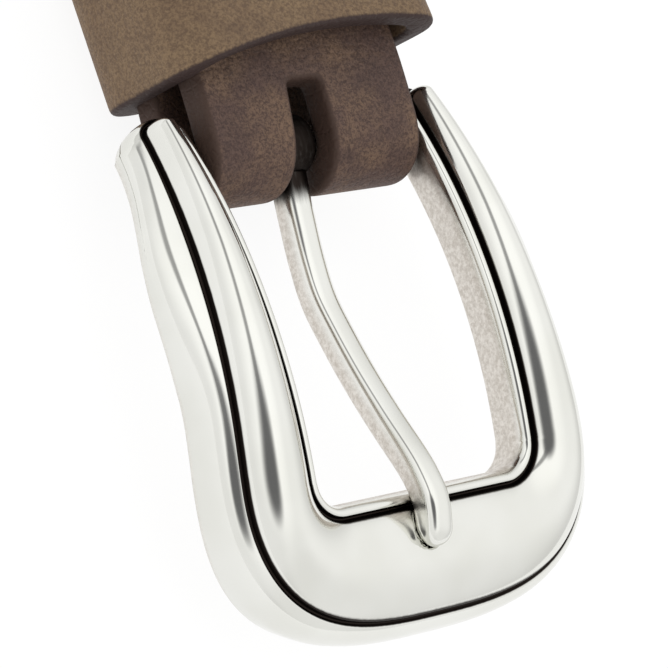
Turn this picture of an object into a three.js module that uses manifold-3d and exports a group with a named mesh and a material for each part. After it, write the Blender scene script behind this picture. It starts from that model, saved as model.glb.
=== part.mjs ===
// Heel-bar belt buckle on its leather chape, in millimetres, +Z up.
// The buckle lies face up: the bar runs along X, the tip rail points to -Y and the strap leaves to +Y.
// Lengths along Y are counted from the bar; the finished group is centred on its own middle.
import * as THREE from 'three';
import Module from 'manifold-3d';

// ---- driving dimensions ------------------------------------------------------------------------
const LEATHER = 4.0;                 // strap leather
const BAND = 3.5;                    // keeper leather
const EDGE = 1.2;                    // rounding of the leather edges
const BAR_R = 2.0;                   // heel bar radius
const FOLD_R = 6.2;                  // outside of the fold round the bar
const BAR_HALF = 18.4;               // half length of the bar, 3 mm of it in each arm
const KEEPER_LOW = 10.1;             // keeper's underside below the bar axis
const BAR_Z = KEEPER_LOW;            // bar axis above the ground plane

const BOW_R = 70;                    // the frame is cast flat, then bowed on this radius
const BOW_Y = -26.3;                 // middle of the bow
const BAR_S = 28.6;                  // bar axis along the bowed face, from the middle
const BAR_H = -3.6;                  // bar axis below the groove line
const ARM_END_S = 34.2;              // rounded ends of the two arms
const TIP_S = -17.0;                 // inner groove along the tip rail
const RAIL = 12.3;                   // main bead across the tip rail
const GROOVE_HALF = 16.5;            // inner groove from the middle, at the tip
const GROOVE_FLARE = 0.0097;         // and how it opens toward the bar
const CORNER_R = 4.5;                // inner groove corner
const OUTER_HALF = 24.2;             // outer groove, where the corner curve starts
const OUTER_TAPER = 0.088;           // narrowing of the outer groove toward the bar
const OUTER_S = -6.1;                // where the corner curve starts
const OUTER_POWER = 2.86;            // squareness of the outer corner curve
const BACK_H = -5.9;                 // back face below the groove line, at the inner lip
const BACK_DROP = 1.4;               // how much lower the back is at the outer bead
const ARM_RISE = 2.9;                // crown of the main bead on the arms
const RAIL_RISE = 1.8;               // and on the tip rail
const ARM_STEP = -0.9;               // outer groove against the inner groove, on the arms
const RAIL_STEP = 0.8;               // and on the tip rail
const RAIL_WIDE = 1.0;               // extra width of the outer bead along the tip rail
const ARM_WIDE = 1.4;                // and along the arms
const WIDE_S = -4;                   // reached from here
const WIDE_RUN = 18;                 // over this length
const FALL_S = 24;                   // the outer bead steepens from here
const FALL_RUN = 22;                 // over this length
const GROOVE_W = 0.32;               // half width of a groove
const END_THIN = 0.5;                // how much narrower the rim is round the arm ends
const TUCK_S = 15;                   // from here to the bar end the arms' outer side tucks in
const TUCK_RUN = 15;                 // over this length
const TUCK = 0.4;                    // by this share of its reach
const LIFT_S = 10;                   // the outer back rises from here
const LIFT_RUN = 12;                 // over this length
const LIFT = 0.7;                    // by this much

const PRONG_W = 3.8;                 // prong width
const PRONG_H = 4.1;                 // prong depth
const PRONG_X = -0.5;                // the eye sits to the left in its slot
const PRONG_LEAN = 1.4;              // and the tip leans further left
const PRONG_LINE = [[-2.9, -0.6], [-5.2, -0.9], [-8.6, -1.1], [-13.2, -1.2], [-17.9, -0.8], [-22.9, 0.8],
  [-28.0, 2.8], [-33.2, 5.2], [-38.3, 7.8], [-40.8, 8.8], [-43.3, 9.3], [-45.8, 8.8], [-48.1, 7.8]];
const EYE_R = 3.5;                   // outside of the prong's eye

const STRAP_W = 29.8;                 // strap width between the arms
const STRAP_END = 42;                // square cut end of the strap
const FLAP_END = 39;                 // end of the turned flap underneath
const CLOSED_Y = 30;                 // where strap and flap meet
const LAYER_GAP = 0.3;               // between strap and flap
const SLOT_BACK = [-2.6, 2.1];       // prong slot, left and right side behind the bar
const SLOT_NOSE = [-4.0, 2.1];       // and at the nose of the fold
const SLOT_END = 5.8;                // end of the slot behind the bar
const SLOT_ROUND = 1.6;              // corners of the slot

const KEEPER_Y = 8.7;                // near edge of the keeper at rest
const KEEPER_L = 18.5;               // keeper along the strap
const KEEPER_HALF = 19.4;            // outside half width of the keeper
const KEEPER_HIGH = 10.4;            // keeper's outer face above the bar axis
const KEEPER_TURN = 5.6;             // outside radius of the keeper's sides, above
const KEEPER_TURN_LOW = 5.6;         // and below
const KEEPER_SKEW = 3.6 * Math.PI / 180;
const KEEPER_ARCH = 2.0;             // the front band bows away from the buckle
const KEEPER_X = 0.4;                // it hangs a little to the right
const KEEPER_TILT = 0.13;            // its face slopes down away from the buckle
const KEEPER_LEVEL = 4.0;            // from its full height here
const RIVET_Y = 34.5;                // two rivets close the fold, behind the keeper
const RIVET_X = 8.0;
const RIVET_CAP_R = 3.6;
const RIVET_CAP_T = 0.4;
const RIVET_POST_R = 1.4;

const wasm = await Module();
wasm.setup();

// ---- materials ---------------------------------------------------------------------------------
const material = (color, metalness, roughness) =>
  new THREE.MeshStandardMaterial({ color, metalness, roughness });
const SILVER = material(0xdcdcd6, 1.0, 0.14);
const STEEL = material(0xb9b8b4, 1.0, 0.32);
const FOLD_LEATHER = material(0x5f4b44, 0.0, 0.75);
const KEEPER_LEATHER = material(0x967d5f, 0.0, 0.8);

// ---- mesh helpers ------------------------------------------------------------------------------
const manifoldOf = (points, triangles) => new wasm.Manifold(new wasm.Mesh({
  numProp: 3, vertProperties: Float32Array.from(points.flat()),
  triVerts: Uint32Array.from(triangles.flat()),
}));

function meshOf(name, solid, look) {
  const raw = solid.getMesh();
  const geometry = new THREE.BufferGeometry();
  geometry.setAttribute('position', new THREE.BufferAttribute(Float32Array.from(raw.vertProperties), 3));
  geometry.setIndex(Array.from(raw.triVerts));
  geometry.computeVertexNormals();
  const mesh = new THREE.Mesh(geometry, look);
  mesh.name = name;
  return mesh;
}

// A solid skinned over closed rings of equal length, its two ends fanned to a middle point.
function loft(rings) {
  const n = rings[0].length;
  const points = rings.flat();
  const triangles = [];
  for (let i = 0; i + 1 < rings.length; i++) {
    for (let j = 0; j < n; j++) {
      const a = i * n + j, b = i * n + (j + 1) % n;
      triangles.push([a, b, b + n], [a, b + n, a + n]);
    }
  }
  const middle = (ring) => [0, 1, 2].map((k) => ring.reduce((sum, p) => sum + p[k], 0) / n);
  const first = points.length, last = first + 1, tail = (rings.length - 1) * n;
  points.push(middle(rings[0]), middle(rings[rings.length - 1]));
  for (let j = 0; j < n; j++) {
    const k = (j + 1) % n;
    triangles.push([first, k, j], [last, tail + j, tail + k]);
  }
  const solid = manifoldOf(points, triangles);
  return solid.volume() > 0 ? solid : manifoldOf(points, triangles.map(([a, b, c]) => [a, c, b]));
}

const cylinderX = (radius, x0, x1, y, z, segments = 40) =>
  wasm.Manifold.cylinder(x1 - x0, radius, radius, segments).rotate([0, 90, 0]).translate([x0, y, z]);

// ---- frame -------------------------------------------------------------------------------------
// A point of the flat casting (across, along, height) carried onto the bow.
function bowed(x, s, h) {
  const turn = s / BOW_R;
  const top = BAR_Z - (BOW_R + BAR_H) * Math.cos(BAR_S / BOW_R) + BOW_R;
  return [x, BOW_Y + (BOW_R + h) * Math.sin(turn), top + (BOW_R + h) * Math.cos(turn) - BOW_R];
}

const innerHalf = (s) => GROOVE_HALF + GROOVE_FLARE * (s - TIP_S);
const outerHalf = (s) => OUTER_HALF - OUTER_TAPER * (s - OUTER_S);

// Outer groove from a point inside it, along a direction in the plan.
function outerReach(x, s, dx, ds) {
  const outside = (t) => {
    const px = x + dx * t, ps = s + ds * t;
    if (ps >= OUTER_S) return px > outerHalf(ps);
    const depth = (OUTER_S - ps) / (OUTER_S - TIP_S + RAIL);
    return (px / outerHalf(ps)) ** OUTER_POWER + depth ** OUTER_POWER > 1;
  };
  let low = 0, high = 40;
  for (let k = 0; k < 40; k++) {
    const t = (low + high) / 2;
    if (outside(t)) high = t; else low = t;
  }
  return low;
}

function smooth(t, low, high) {
  const u = Math.min(1, Math.max(0, (t - low) / (high - low)));
  return u * u * (3 - 2 * u);
}

// How far the outer bead has steepened: 0 at the bar end, 1 toward the tip.
const fallAt = (s) => Math.min(1, Math.max(0, (FALL_S - s) / FALL_RUN));

// Half a section, from the crest of the main bead over one groove and down to the middle of the back.
// side: 0 = outer bead, 1 = inner lip. Each entry is [distance from the crest, height].
// fall: 0 = shallow outer bead at the bar end, 1 = steep outer bead at the tip; wide: extra rim width;
// tuck: how far the outer side tucks in; lift: how far its back rises.
function halfSection({ half: reach, step, rise, fall, wide, tuck, lift }, side, thin = 1) {
  const mix = (a, b) => a + (b - a) * side;
  const crest = step / 2 + rise;
  const level = step * (1 - side);
  const out = [];
  for (let k = 0; k <= 7; k++) {
    const f = Math.sin((k / 7) * Math.PI / 2);
    const edge = reach - GROOVE_W;
    out.push([edge * f, level + 0.2 + (crest - level - 0.2) * (1 - f * f) ** 0.75]);
  }
  out.push([reach - 0.1, level - 0.45], [reach + 0.1, level - 0.45]);
  const rim = [
    [0.32, -0.02, -0.1, 0.32, 0.12], [0.75, -0.25, -0.38, 0.6, 0.22], [1.3, -0.6, -0.9, 0.95, 0.1],
    [1.8, -1.1, -1.75, 1.25, -0.3], [2.25, -1.7, -2.95, 1.45, -1.0], [2.5, -2.3, -4.2, 1.5, -2.1]];
  const back = BACK_H + (lift - BACK_DROP * fall) * (1 - side);
  rim.push([2.55, back + 2.0 - level, back + 1.6 - level, 1.2, -3.6 - level]);
  for (const [w, up, inner] of [[2.45, 0.75, 0.85], [2.0, 0.15, 0.45], [1.3, 0, -0.2]]) {
    rim.push([w, back + up - level, back + up - level, inner, back + up - level]);
  }
  for (const [w, shallow, steep, lip, lipH] of rim) {
    const height = shallow + (steep - shallow) * fall;
    const outward = w * (1 + wide / 2.5) * (1 - TUCK * tuck);
    out.push([reach + mix(outward, lip) * thin, level + mix(height, lipH)]);
  }
  out.push([0, BACK_H - BACK_DROP * fall / 2]);
  return out;
}

// Stations round the frame from the right arm's end to the middle of the rail:
// inner groove point, direction to the outer groove.
function stations() {
  const out = [];
  const cs = TIP_S + CORNER_R, cx = GROOVE_HALF - CORNER_R;
  for (let k = 0; k <= 20; k++) {
    const s = ARM_END_S - 4.4 + (cs - ARM_END_S + 4.4) * (k / 20);
    out.push([innerHalf(s) + GROOVE_FLARE * CORNER_R * 0, s, 1, 0]);
  }
  for (let k = 1; k <= 14; k++) {
    const a = (k / 14) * Math.PI / 2;
    out.push([cx + CORNER_R * Math.cos(a), cs - CORNER_R * Math.sin(a), Math.cos(a), -Math.sin(a)]);
  }
  for (let k = 1; k <= 7; k++) out.push([cx * (1 - k / 7), TIP_S, 0, -1]);
  return out;
}

function frameSolid() {
  const right = stations().map(([x, s, dx, ds]) => {
    const width = outerReach(x, s, dx, ds);
    const rail = Math.min(1, Math.max(0, -ds)) ** 2;
    return { x, s, dx, ds, width, half: width / 2, step: ARM_STEP + (RAIL_STEP - ARM_STEP) * rail,
      rise: ARM_RISE * Math.min(1, 0.6 + width / 14) + (RAIL_RISE - ARM_RISE) * rail,
      fall: fallAt(s), tuck: smooth(s, TUCK_S, TUCK_S + TUCK_RUN), lift: LIFT * smooth(s, LIFT_S, LIFT_S + LIFT_RUN),
      wide: RAIL_WIDE * rail + ARM_WIDE * smooth(s, WIDE_S, WIDE_S + WIDE_RUN) };
  });
  const left = right.slice(0, -1).reverse().map((r) => ({ ...r, x: -r.x, dx: -r.dx }));
  const all = [...right, ...left];
  const rings = all.map((station) => {
    const { x, s, dx, ds, half } = station;
    const mx = x + dx * half, ms = s + ds * half;
    const outer = halfSection(station, 0).map(([r, h]) => bowed(mx + dx * r, ms + ds * r, h));
    const inner = halfSection(station, 1).map(([r, h]) => bowed(mx - dx * r, ms - ds * r, h));
    return [...outer, ...inner.slice(1, -1).reverse()];
  });
  const n = rings[0].length, m = (n + 2) / 2;
  const points = rings.flat(), triangles = [];
  for (let i = 0; i + 1 < rings.length; i++) {
    for (let j = 0; j < n; j++) {
      const a = i * n + j, b = i * n + (j + 1) % n;
      triangles.push([a, b, b + n], [a, b + n, a + n]);
    }
  }
  // Rounded arm ends: the half section turned from the outer side to the inner side.
  const TURNS = 14;
  for (const [index, flip] of [[0, 1], [rings.length - 1, -1]]) {
    const { x, s, half } = all[index];
    const mx = x + Math.sign(x) * half;
    const pole = index * n, back = index * n + m - 1;
    let before = Array.from({ length: m }, (_, j) => index * n + j);
    for (let k = 1; k <= TURNS; k++) {
      const a = (k / TURNS) * Math.PI;
      const side = (1 - Math.cos(a)) / 2;
      let now;
      if (k === TURNS) {
        now = Array.from({ length: m }, (_, j) => (j === 0 ? pole : index * n + (n - j)));
        now[m - 1] = back;
      } else {
        const profile = halfSection(all[index], side, 1 - END_THIN * Math.sin(a) ** 0.6);
        const base = points.length;
        now = profile.map((_, j) => (j === 0 ? pole : j === m - 1 ? back : base + j - 1));
        for (const [r, h] of profile.slice(1, -1)) {
          points.push(bowed(mx + Math.sign(x) * r * Math.cos(a), s + r * Math.sin(a), h));
        }
      }
      for (let j = 0; j + 1 < m; j++) {
        const quad = [before[j], before[j + 1], now[j + 1], now[j]];
        const order = flip > 0 ? quad : quad.slice().reverse();
        for (const t of [[order[0], order[2], order[1]], [order[0], order[3], order[2]]]) {
          if (new Set(t).size === 3) triangles.push(t);
        }
      }
      before = now;
    }
  }
  const solid = manifoldOf(points, triangles);
  return solid.volume() > 0 ? solid : manifoldOf(points, triangles.map(([a, b, c]) => [a, c, b]));
}

// ---- prong -------------------------------------------------------------------------------------
// Superellipse rod swept along the prong's line, its tip rounded off; grow adds clearance.
function prongRod(grow) {
  const line = new THREE.CatmullRomCurve3(
    PRONG_LINE.map(([y, z]) => new THREE.Vector3(0, y, BAR_Z + z)), false, 'centripetal');
  const rings = [];
  const STEPS = 64, ROUND = 9, SIDES = 28;
  const length = line.getLength();
  for (let k = 0; k <= STEPS + ROUND; k++) {
    const cap = Math.max(0, k - STEPS) / ROUND;
    const u = k <= STEPS ? (k / STEPS) * (1 - 2.2 / length)
      : 1 - (2.2 / length) * (1 - Math.sin(cap * 1.5));
    const p = line.getPointAt(u), t = line.getTangentAt(u);
    const lean = PRONG_X - PRONG_LEAN * u;
    const up = new THREE.Vector3(0, -t.z, t.y).multiplyScalar(t.y < 0 ? -1 : 1);
    const slim = 1 - 0.04 * u;
    const shrink = cap > 0 ? Math.sqrt(Math.max(0, 1 - Math.sin(cap * 1.5) ** 2)) : 1;
    const a = (PRONG_W / 2 * slim) * shrink + grow, b = (PRONG_H / 2 * slim) * shrink + grow;
    const ring = [];
    for (let j = 0; j < SIDES; j++) {
      const w = (j / SIDES) * 2 * Math.PI;
      const c = Math.cos(w), d = Math.sin(w);
      const x = a * Math.sign(c) * Math.abs(c) ** 0.75, v = b * Math.sign(d) * Math.abs(d) ** 0.85;
      ring.push([lean + x, p.y + up.y * v, p.z + up.z * v]);
    }
    rings.push(ring);
  }
  return loft(rings);
}

function prongSolid() {
  const eye = cylinderX(EYE_R, PRONG_X - PRONG_W / 2, PRONG_X + PRONG_W / 2, 0, BAR_Z, 48);
  const bore = cylinderX(BAR_R + 0.06, PRONG_X - 4, PRONG_X + 4, 0, BAR_Z, 48);
  return prongRod(0).add(eye).subtract(bore);
}

// ---- strap -------------------------------------------------------------------------------------
// Middle line of the folded strap in the Y-Z plane: flap, round the bar, down onto the flap, cut end.
function strapLine() {
  const r = FOLD_R - LEATHER / 2, shut = (LEATHER + LAYER_GAP) / 2;
  const side = (sign, end) => {
    const run = [];
    for (let k = 1; k <= 14; k++) {
      const u = k / 14, v = Math.max(0, (u - 0.13) / 0.87), ease = v * v * (3 - 2 * v);
      run.push([CLOSED_Y * u, BAR_Z + sign * (r + (shut - r) * ease)]);
    }
    for (let k = 1; k <= 3; k++) run.push([CLOSED_Y + (end - CLOSED_Y) * (k / 3), BAR_Z + sign * shut]);
    return run;
  };
  const nose = [];
  for (let k = 0; k <= 22; k++) {
    const a = -Math.PI / 2 - (k / 22) * Math.PI;
    nose.push([r * Math.cos(a), BAR_Z + r * Math.sin(a)]);
  }
  return [...side(-1, FLAP_END).reverse(), ...nose, ...side(1, STRAP_END)];
}

// Rounded-edge rectangle, width along X and thickness along the normal.
function edgeSection(width, thick, round) {
  const out = [];
  for (const [sx, sn, a0] of [[1, -1, -90], [1, 1, 0], [-1, 1, 90], [-1, -1, 180]]) {
    for (let k = 0; k <= 4; k++) {
      const a = (a0 + k * 22.5) * Math.PI / 180;
      out.push([sx * (width / 2 - round) + round * Math.cos(a),
        sn * (thick / 2 - round) + round * Math.sin(a)]);
    }
  }
  return out;
}

function strapSolid() {
  const line = strapLine();
  const section = edgeSection(STRAP_W, LEATHER, EDGE);
  const rings = line.map(([y, z], i) => {
    const [ya, za] = line[Math.max(0, i - 1)], [yb, zb] = line[Math.min(line.length - 1, i + 1)];
    const d = Math.hypot(yb - ya, zb - za);
    const ny = -(zb - za) / d, nz = (yb - ya) / d;
    return section.map(([x, n]) => [x, y + ny * n, z + nz * n]);
  });
  const corner = (x, y) => wasm.Manifold.cylinder(40, SLOT_ROUND, SLOT_ROUND, 24).translate([x, y, -10]);
  const end = SLOT_END - SLOT_ROUND;
  const slot = wasm.Manifold.hull([
    corner(SLOT_BACK[0] + SLOT_ROUND, end), corner(SLOT_BACK[1] - SLOT_ROUND, end),
    corner(SLOT_NOSE[0] + SLOT_ROUND, -FOLD_R), corner(SLOT_NOSE[1] - SLOT_ROUND, -FOLD_R)]);
  let solid = loft(rings).subtract(slot);
  for (const x of [-RIVET_X, RIVET_X]) {
    solid = solid.subtract(wasm.Manifold.cylinder(40, RIVET_POST_R + 0.05, RIVET_POST_R + 0.05, 32)
      .translate([x, RIVET_Y, -10]));
  }
  return solid;
}

// ---- keeper ------------------------------------------------------------------------------------
const STRAP_LOW = BAR_Z - LEATHER - LAYER_GAP / 2;               // underside of the closed flap
const STRAP_TOP = BAR_Z + LEATHER + LAYER_GAP / 2;               // face of the closed strap
const KEEPER_FLOOR = BAR_Z - KEEPER_LOW;                         // underside of the keeper
const skewed = (solid) => solid.translate([0, -KEEPER_Y - KEEPER_L / 2, 0])
  .rotate([0, 0, KEEPER_SKEW * 180 / Math.PI]).translate([KEEPER_X, KEEPER_Y + KEEPER_L / 2, 0]);

function keeperSolid() {
  const z0 = KEEPER_FLOOR + BAND / 2, z1 = BAR_Z + KEEPER_HIGH - BAND / 2;
  const half = KEEPER_HALF - BAND / 2, seam = 0.15;
  const over = KEEPER_TURN - BAND / 2, under = KEEPER_TURN_LOW - BAND / 2;
  const line = [[seam, z0], [half / 2, z0]];
  for (const [turn, side, cz, a0] of [[under, 1, z0 + under, -90], [over, 1, z1 - over, 0],
    [over, -1, z1 - over, 90], [under, -1, z0 + under, 180]]) {
    for (let k = 0; k <= 9; k++) {
      const a = (a0 + k * 10) * Math.PI / 180;
      line.push([side * (half - turn) + turn * Math.cos(a), cz + turn * Math.sin(a)]);
    }
    if (a0 === 0) for (let k = 1; k <= 7; k++) line.push([(half - over) * (1 - k / 4), z1]);
  }
  line.push([-half / 2, z0], [-seam, z0]);
  const section = edgeSection(KEEPER_L, BAND, EDGE);
  const rings = line.map(([x, z], i) => {
    const [xa, za] = line[Math.max(0, i - 1)], [xb, zb] = line[Math.min(line.length - 1, i + 1)];
    const d = Math.hypot(xb - xa, zb - za);
    const nx = (zb - za) / d, nz = -(xb - xa) / d;
    const raised = Math.max(0, (z - z0) / (z1 - z0));
    const lift = raised * KEEPER_ARCH * (1 - (x / half) ** 2);
    return section.map(([v, n]) => [x + nx * n, KEEPER_Y + KEEPER_L / 2 + v + lift,
      z + nz * n - raised * KEEPER_TILT * (v + KEEPER_L / 2 - KEEPER_LEVEL)]);
  });
  let solid = loft(rings);
  for (const y of STAPLE_Y) solid = solid.subtract(stapleBody(y, 0.04));
  return skewed(solid);
}

// U-shaped wire staple across the butted ends of the keeper, its crown under the band.
const STAPLE_Y = [KEEPER_Y + 5.2, KEEPER_Y + KEEPER_L - 5.2];
const STAPLE_HALF = 4.2, STAPLE_R = 0.45, STAPLE_LEG = 2.6;
function stapleBody(y, grow) {
  const r = STAPLE_R + grow, base = KEEPER_FLOOR + STAPLE_R + 0.02;
  let solid = cylinderX(r, -STAPLE_HALF, STAPLE_HALF, y, base, 20);
  for (const x of [-STAPLE_HALF, STAPLE_HALF]) {
    solid = solid.add(wasm.Manifold.sphere(r, 20).translate([x, y, base]))
      .add(wasm.Manifold.cylinder(STAPLE_LEG, r, r, 20).translate([x, y, base]));
  }
  if (grow > 0) {
    solid = solid.add(wasm.Manifold.cube([2 * STAPLE_HALF + 2 * r, 2 * r, 2])
      .translate([-STAPLE_HALF - r, y - r, base - 2]));
  }
  return solid;
}

// ---- rivets ------------------------------------------------------------------------------------
// Double-cap rivet: a post with its own head below, a cap pressed over the post above.
function rivetPost(x) {
  const head = wasm.Manifold.cylinder(RIVET_CAP_T, RIVET_CAP_R, RIVET_CAP_R - 0.15, 40)
    .rotate([180, 0, 0]).translate([x, RIVET_Y, STRAP_LOW - 0.02]);
  const post = wasm.Manifold.cylinder(2 * LEATHER + LAYER_GAP - 0.6, RIVET_POST_R, RIVET_POST_R, 32)
    .translate([x, RIVET_Y, STRAP_LOW - 0.1]);
  return head.add(post);
}

function rivetCap(x) {
  return wasm.Manifold.cylinder(RIVET_CAP_T, RIVET_CAP_R, RIVET_CAP_R - 0.15, 40)
    .translate([x, RIVET_Y, STRAP_TOP + 0.02])
    .add(wasm.Manifold.cylinder(0.5, RIVET_POST_R - 0.1, RIVET_POST_R - 0.1, 32)
      .translate([x, RIVET_Y, STRAP_TOP - 0.45]));
}

// ---- assembly ----------------------------------------------------------------------------------
const group = new THREE.Group();
group.name = 'belt_buckle';

const barHole = cylinderX(BAR_R + 0.03, -BAR_HALF - 0.1, BAR_HALF + 0.1, 0, BAR_Z, 48);
group.add(meshOf('frame', frameSolid().subtract(barHole).subtract(prongRod(0.08)), SILVER));
group.add(meshOf('heel_bar', cylinderX(BAR_R, -BAR_HALF, BAR_HALF, 0, BAR_Z, 48), STEEL));
group.add(meshOf('prong', prongSolid(), SILVER));
group.add(meshOf('strap_fold', strapSolid(), FOLD_LEATHER));
group.add(meshOf('keeper', keeperSolid(), KEEPER_LEATHER));
STAPLE_Y.forEach((y, i) => group.add(meshOf(`keeper_staple_${i + 1}`, skewed(stapleBody(y, 0)), STEEL)));
[-RIVET_X, RIVET_X].forEach((x, i) => {
  group.add(meshOf(`rivet_post_${i + 1}`, rivetPost(x), STEEL));
  group.add(meshOf(`rivet_cap_${i + 1}`, rivetCap(x), STEEL));
});

// Centre the length of the whole part on y = 0.
const span = new THREE.Box3().setFromObject(group);
const shift = -(span.min.y + span.max.y) / 2;
group.children.forEach((mesh) => mesh.geometry.translate(0, shift, 0));

export default group;
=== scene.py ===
"""Looks of a heel-bar belt buckle on its leather chape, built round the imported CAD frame.

Shapes are worked out in millimetres, counted from the axis of the heel bar (x across, y along the
strap, z up), with the driving dimensions of the CAD part; place() turns them into the frame's metres.
"""
import math

import bmesh
import bpy
from mathutils import Matrix, Vector


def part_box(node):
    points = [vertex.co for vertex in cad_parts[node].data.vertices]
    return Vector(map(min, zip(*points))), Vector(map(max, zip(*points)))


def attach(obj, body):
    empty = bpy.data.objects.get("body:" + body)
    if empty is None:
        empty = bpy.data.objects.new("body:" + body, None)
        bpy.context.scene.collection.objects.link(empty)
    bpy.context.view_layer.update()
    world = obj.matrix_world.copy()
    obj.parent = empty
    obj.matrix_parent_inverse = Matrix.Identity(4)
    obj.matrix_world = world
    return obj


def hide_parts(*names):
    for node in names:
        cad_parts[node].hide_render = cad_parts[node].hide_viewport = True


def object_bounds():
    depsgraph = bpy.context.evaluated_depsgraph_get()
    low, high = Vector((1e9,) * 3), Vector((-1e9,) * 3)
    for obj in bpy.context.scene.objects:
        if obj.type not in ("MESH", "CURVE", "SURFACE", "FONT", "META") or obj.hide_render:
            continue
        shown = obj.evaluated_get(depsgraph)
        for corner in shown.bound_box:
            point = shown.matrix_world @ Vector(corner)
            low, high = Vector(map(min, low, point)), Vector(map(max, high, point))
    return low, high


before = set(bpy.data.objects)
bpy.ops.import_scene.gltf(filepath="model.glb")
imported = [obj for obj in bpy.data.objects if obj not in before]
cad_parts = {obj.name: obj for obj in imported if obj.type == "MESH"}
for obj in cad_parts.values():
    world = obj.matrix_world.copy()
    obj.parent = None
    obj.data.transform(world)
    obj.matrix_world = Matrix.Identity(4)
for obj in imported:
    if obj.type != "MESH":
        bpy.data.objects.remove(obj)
cad_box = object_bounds()

MM = 0.001
bar_low, bar_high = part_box("heel_bar")
BAR = (bar_low + bar_high) / 2           # axis of the heel bar, in metres
FLOOR_Z = cad_box[0].z

# ---- driving dimensions, in mm, as in the CAD part ----------------------------------------------
LEATHER = 4.0                # strap leather
BAND = 3.5                   # keeper leather
EDGE = 1.3                   # width of the rounding at a leather edge
BAR_R = 2.0
FOLD_R = 6.2                 # outside of the fold round the bar
BAR_HALF = 18.4
KEEPER_LOW = 10.1            # keeper's underside below the bar axis

BOW_R, BOW_Y = 70.0, -26.3   # the frame is bowed on this radius, round this middle
BAR_S, BAR_H = 28.6, -3.6    # the bar on the bowed face
ARM_END_S = 34.2             # lengths named _S run along the bow
ARM_ROUND = 4.4              # the arm ends are turned from here
TIP_S = -17.0                # the inner groove at the rail
RAIL = 12.3                  # from there to the outer groove
GROOVE_HALF, GROOVE_FLARE = 16.5, 0.0097    # half the width between the inner grooves, and its taper
CORNER_R = 4.5
# the outer groove: straight and tapering down to OUTER_S, then a superellipse round the tip
OUTER_HALF, OUTER_TAPER, OUTER_S, OUTER_POWER = 24.2, 0.088, -6.1, 2.86
BACK_H, BACK_DROP = -5.9, 1.4               # height of the back, and its drop where the rim is steep
ARM_RISE, RAIL_RISE = 2.9, 1.8              # crest of the main bead over its grooves
ARM_STEP, RAIL_STEP = -0.9, 0.8             # the outer groove over the inner one
RAIL_WIDE, ARM_WIDE = 1.0, 1.4              # what the rim gains in width
FALL_S, FALL_RUN = 24.0, 22.0               # the rim turns steep over this stretch
GROOVE_W = 0.32                             # half a groove's width
END_THIN = 0.5               # share of the rim's width taken off at the middle of an arm's end
WIDE_S, WIDE_RUN = -4.0, 18.0               # the arms' rim widens from here
TUCK_S, TUCK_RUN, TUCK = 15.0, 15.0, 0.4    # their outer side tucks in at the bar end
LIFT_S, LIFT_RUN, LIFT = 10.0, 12.0, 0.7    # and the back rises toward it

PRONG_W, PRONG_H = 3.8, 4.1
PRONG_X, PRONG_LEAN = -0.5, 1.4     # it leans toward -x by this from eye to tip
PRONG_TAPER = 0.04           # share of its size lost along its length
PRONG_LINE = [(-2.9, -0.6), (-5.2, -0.9), (-8.6, -1.1), (-13.2, -1.2), (-17.9, -0.8), (-22.9, 0.8),
              (-28.0, 2.8), (-33.2, 5.2), (-38.3, 7.8), (-40.8, 8.8), (-43.3, 9.3), (-45.8, 8.8),
              (-48.1, 7.8)]   # side view of its middle line, (y, z)
PRONG_TIP = 2.2              # length of the rounded tip
EYE_R = 3.5

STRAP_W = 29.8
STRAP_END, FLAP_END, CLOSED_Y = 42.0, 39.0, 30.0     # the two ends, and where the layers meet
LAYER_GAP = 0.3
SLOT_LEFT_BACK, SLOT_LEFT_NOSE, SLOT_RIGHT = -2.6, -4.0, 2.1     # its left edge slants
SLOT_END = 5.8               # how far past the bar the prong's slot runs

KEEPER_Y, KEEPER_L = 8.7, 18.5
KEEPER_HALF, KEEPER_HIGH, KEEPER_TURN, KEEPER_TURN_LOW = 19.4, 10.4, 5.6, 5.6
KEEPER_SKEW = math.radians(3.6)
KEEPER_ARCH, KEEPER_X = 2.0, 0.4
KEEPER_LEVEL = 4.0           # where along it the face is at its full height
KEEPER_TILT = 0.13           # slope of its face, down away from the buckle
RIVET_X, RIVET_Y = 8.0, 34.5
RIVET_CAP_R, RIVET_CAP_T, RIVET_POST_R = 3.6, 0.4, 1.4
STAPLE_HALF, STAPLE_R, STAPLE_LEG, STAPLE_IN = 4.2, 0.45, 2.6, 5.2
PLAY = 0.02                  # gap between two pieces that lie on each other


def smooth(t, low=0.0, high=1.0):
    """0 at low, 1 at high, eased at both ends."""
    t = min(1.0, max(0.0, (t - low) / (high - low)))
    return t * t * (3 - 2 * t)


def mix(a, b, t):
    return a + (b - a) * t


def place(x, y, z):
    """A point in mm from the bar's axis, in the frame's metres."""
    return Vector((BAR.x + x * MM, BAR.y + y * MM, BAR.z + z * MM))


# ---- node materials ------------------------------------------------------------------------------
def plug(socket, value):
    """Links a socket to another node's output, or gives it a constant."""
    if isinstance(value, bpy.types.NodeSocket):
        socket.id_data.links.new(value, socket)
    else:
        socket.default_value = value


MIX_FACTOR, MIX_A, MIX_B, MIX_OUT = 0, 6, 7, 2     # the Mix node's colour sockets


def mix_colours(tree, factor, a, b):
    """Colour a where factor is 0, b where it is 1."""
    node = tree.nodes.new("ShaderNodeMix")
    node.data_type = "RGBA"
    for index, value in ((MIX_FACTOR, factor), (MIX_A, a), (MIX_B, b)):
        plug(node.inputs[index], value)
    return node.outputs[MIX_OUT]


def ease(tree, value, low, high, out_low=0.0, out_high=1.0):
    """Eases from out_low to out_high as value goes from low to high."""
    node = tree.nodes.new("ShaderNodeMapRange")
    node.interpolation_type = "SMOOTHSTEP"
    for key, number in (("Value", value), ("From Min", low), ("From Max", high),
                        ("To Min", out_low), ("To Max", out_high)):
        plug(node.inputs[key], number)
    return node.outputs[0]


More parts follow.
